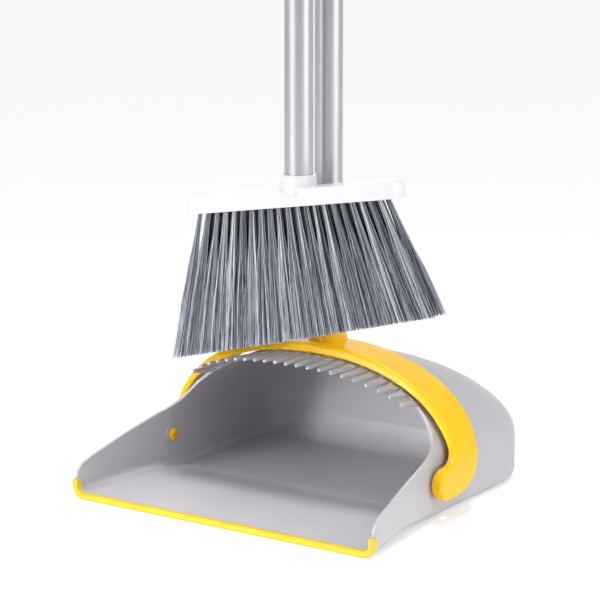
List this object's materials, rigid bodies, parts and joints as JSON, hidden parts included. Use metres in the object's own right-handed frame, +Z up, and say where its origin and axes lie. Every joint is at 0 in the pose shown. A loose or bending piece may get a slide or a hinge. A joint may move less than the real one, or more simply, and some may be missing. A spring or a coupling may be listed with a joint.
{
  "type": "dust pan and brush set",
  "caption": "Upright hooded dust pan with a comb along its mouth and a hinged yoke on a long pole, with a long-handled brush clipped in front of the pole.",
  "frame": {"origin": "on the floor under the middle of the whole set's outline", "axes": "+Z up the poles, the pan's mouth faces -Y, X across the pan's width"},
  "size_m": [0.302, 0.2796, 1.2103],
  "materials": {
    "pan_grey": "satin moulded plastic",
    "lip_yellow": "soft rubber strip",
    "yoke_yellow": "semi-gloss moulded plastic",
    "pole_silver": "satin silver tube",
    "fitting_grey": "matte moulded plastic",
    "grip_grey": "soft-touch grip",
    "head_white": "glossy moulded plastic",
    "bristle_slate": "bundled synthetic bristles"
  },
  "bodies": {
    "pan": {"pan_body": "pan_grey", "lip_strip": "lip_yellow"},
    "handle": {"yoke": "yoke_yellow", "pivot_pin_left": "yoke_yellow", "pivot_pin_right": "yoke_yellow", "pan_tube_lower": "pole_silver", "pan_tube_middle": "pole_silver", "pan_tube_upper": "pole_silver", "pan_coupler_lower": "fitting_grey", "pan_coupler_upper": "fitting_grey", "pan_grip": "grip_grey", "pan_cap": "yoke_yellow", "clip_lower": "yoke_yellow", "clip_upper": "yoke_yellow"},
    "brush": {"brush_head": "head_white", "bristle_row_1": "bristle_slate", "bristle_row_2": "bristle_slate", "bristle_row_3": "bristle_slate", "bristle_row_4": "bristle_slate", "brush_tube_lower": "pole_silver", "brush_tube_middle": "pole_silver", "brush_tube_upper": "pole_silver", "brush_coupler_lower": "fitting_grey", "brush_coupler_upper": "fitting_grey", "brush_grip": "grip_grey", "brush_cap": "yoke_yellow"}
  },
  "joints": [
    {"name": "handle_tilt", "type": "hinge", "parent": "pan", "child": "handle", "pos_m": [0, -0.0215, 0.032], "axis": [1, 0, 0], "range_deg": [0, 70]},
    {"name": "brush_unclip", "type": "slide", "parent": "handle", "child": "brush", "axis": [0, -1, 0], "range_m": [0, 0.025]}
  ]
}
